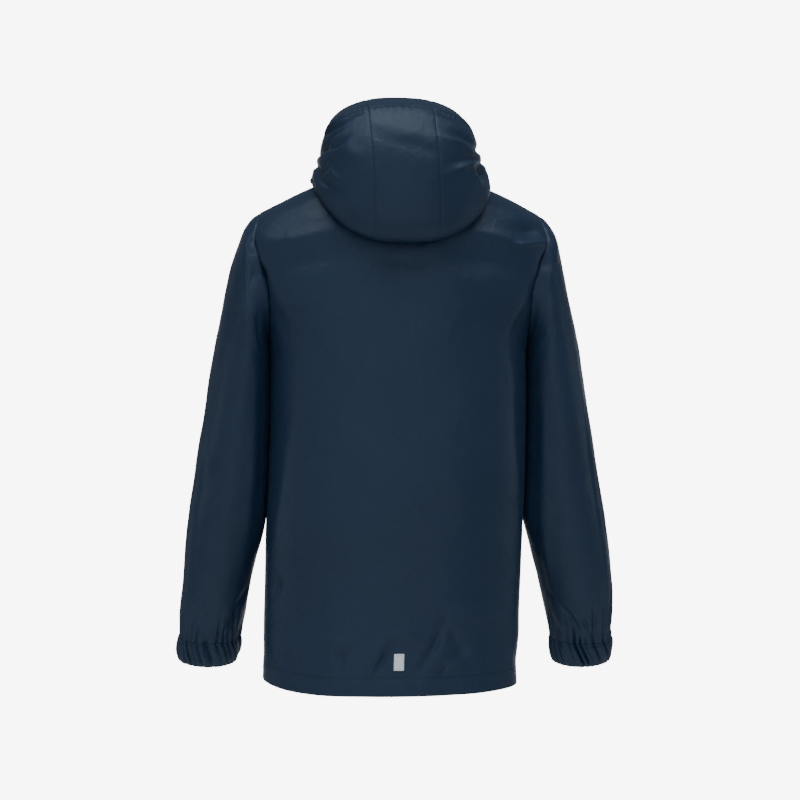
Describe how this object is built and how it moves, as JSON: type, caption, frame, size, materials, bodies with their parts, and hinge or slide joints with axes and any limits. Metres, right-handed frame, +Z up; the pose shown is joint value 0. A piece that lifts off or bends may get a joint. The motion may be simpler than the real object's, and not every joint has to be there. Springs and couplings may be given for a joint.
{
  "type": "kids raincoat",
  "caption": "Child's hooded rain jacket in navy woven cloth, hollow as if worn, hood down, with elastic cuffs, a front zip and a small reflective tab.",
  "frame": {"origin": "middle of the neck opening, level with the inner ends of the shoulder seams, where the wearer's shoulders hold it", "axes": "+Z up, front towards -Y, the wearer's left at +X"},
  "size_m": [0.5579, 0.2354, 0.7248],
  "materials": {
    "shell_cloth": "navy coated woven shell, softly shiny",
    "zip_tape": "navy woven zip tape",
    "zip_coil": "navy moulded coil",
    "slider_metal": "dark enamelled zinc",
    "reflective_cloth": "pale silver retroreflective cloth"
  },
  "bodies": {
    "jacket": {"back": "shell_cloth", "front_left": "shell_cloth", "front_right": "shell_cloth", "sleeve_left": "shell_cloth", "sleeve_right": "shell_cloth", "cuff_left": "shell_cloth", "cuff_right": "shell_cloth", "hood_centre": "shell_cloth", "hood_left": "shell_cloth", "hood_right": "shell_cloth", "zip_tape_left": "zip_tape", "zip_tape_right": "zip_tape", "zip_chain": "zip_coil", "zip_box": "zip_coil", "zip_slider": "slider_metal", "reflective_tab": "reflective_cloth"},
    "pull_tab": {"zip_pull": "slider_metal"}
  },
  "joints": [
    {"name": "zip_pull_swing", "type": "hinge", "parent": "jacket", "child": "pull_tab", "pos_m": [-0.00474, -0.08859, -0.02028], "axis": [-1, 0, 0], "range_deg": [0, 165]}
  ]
}
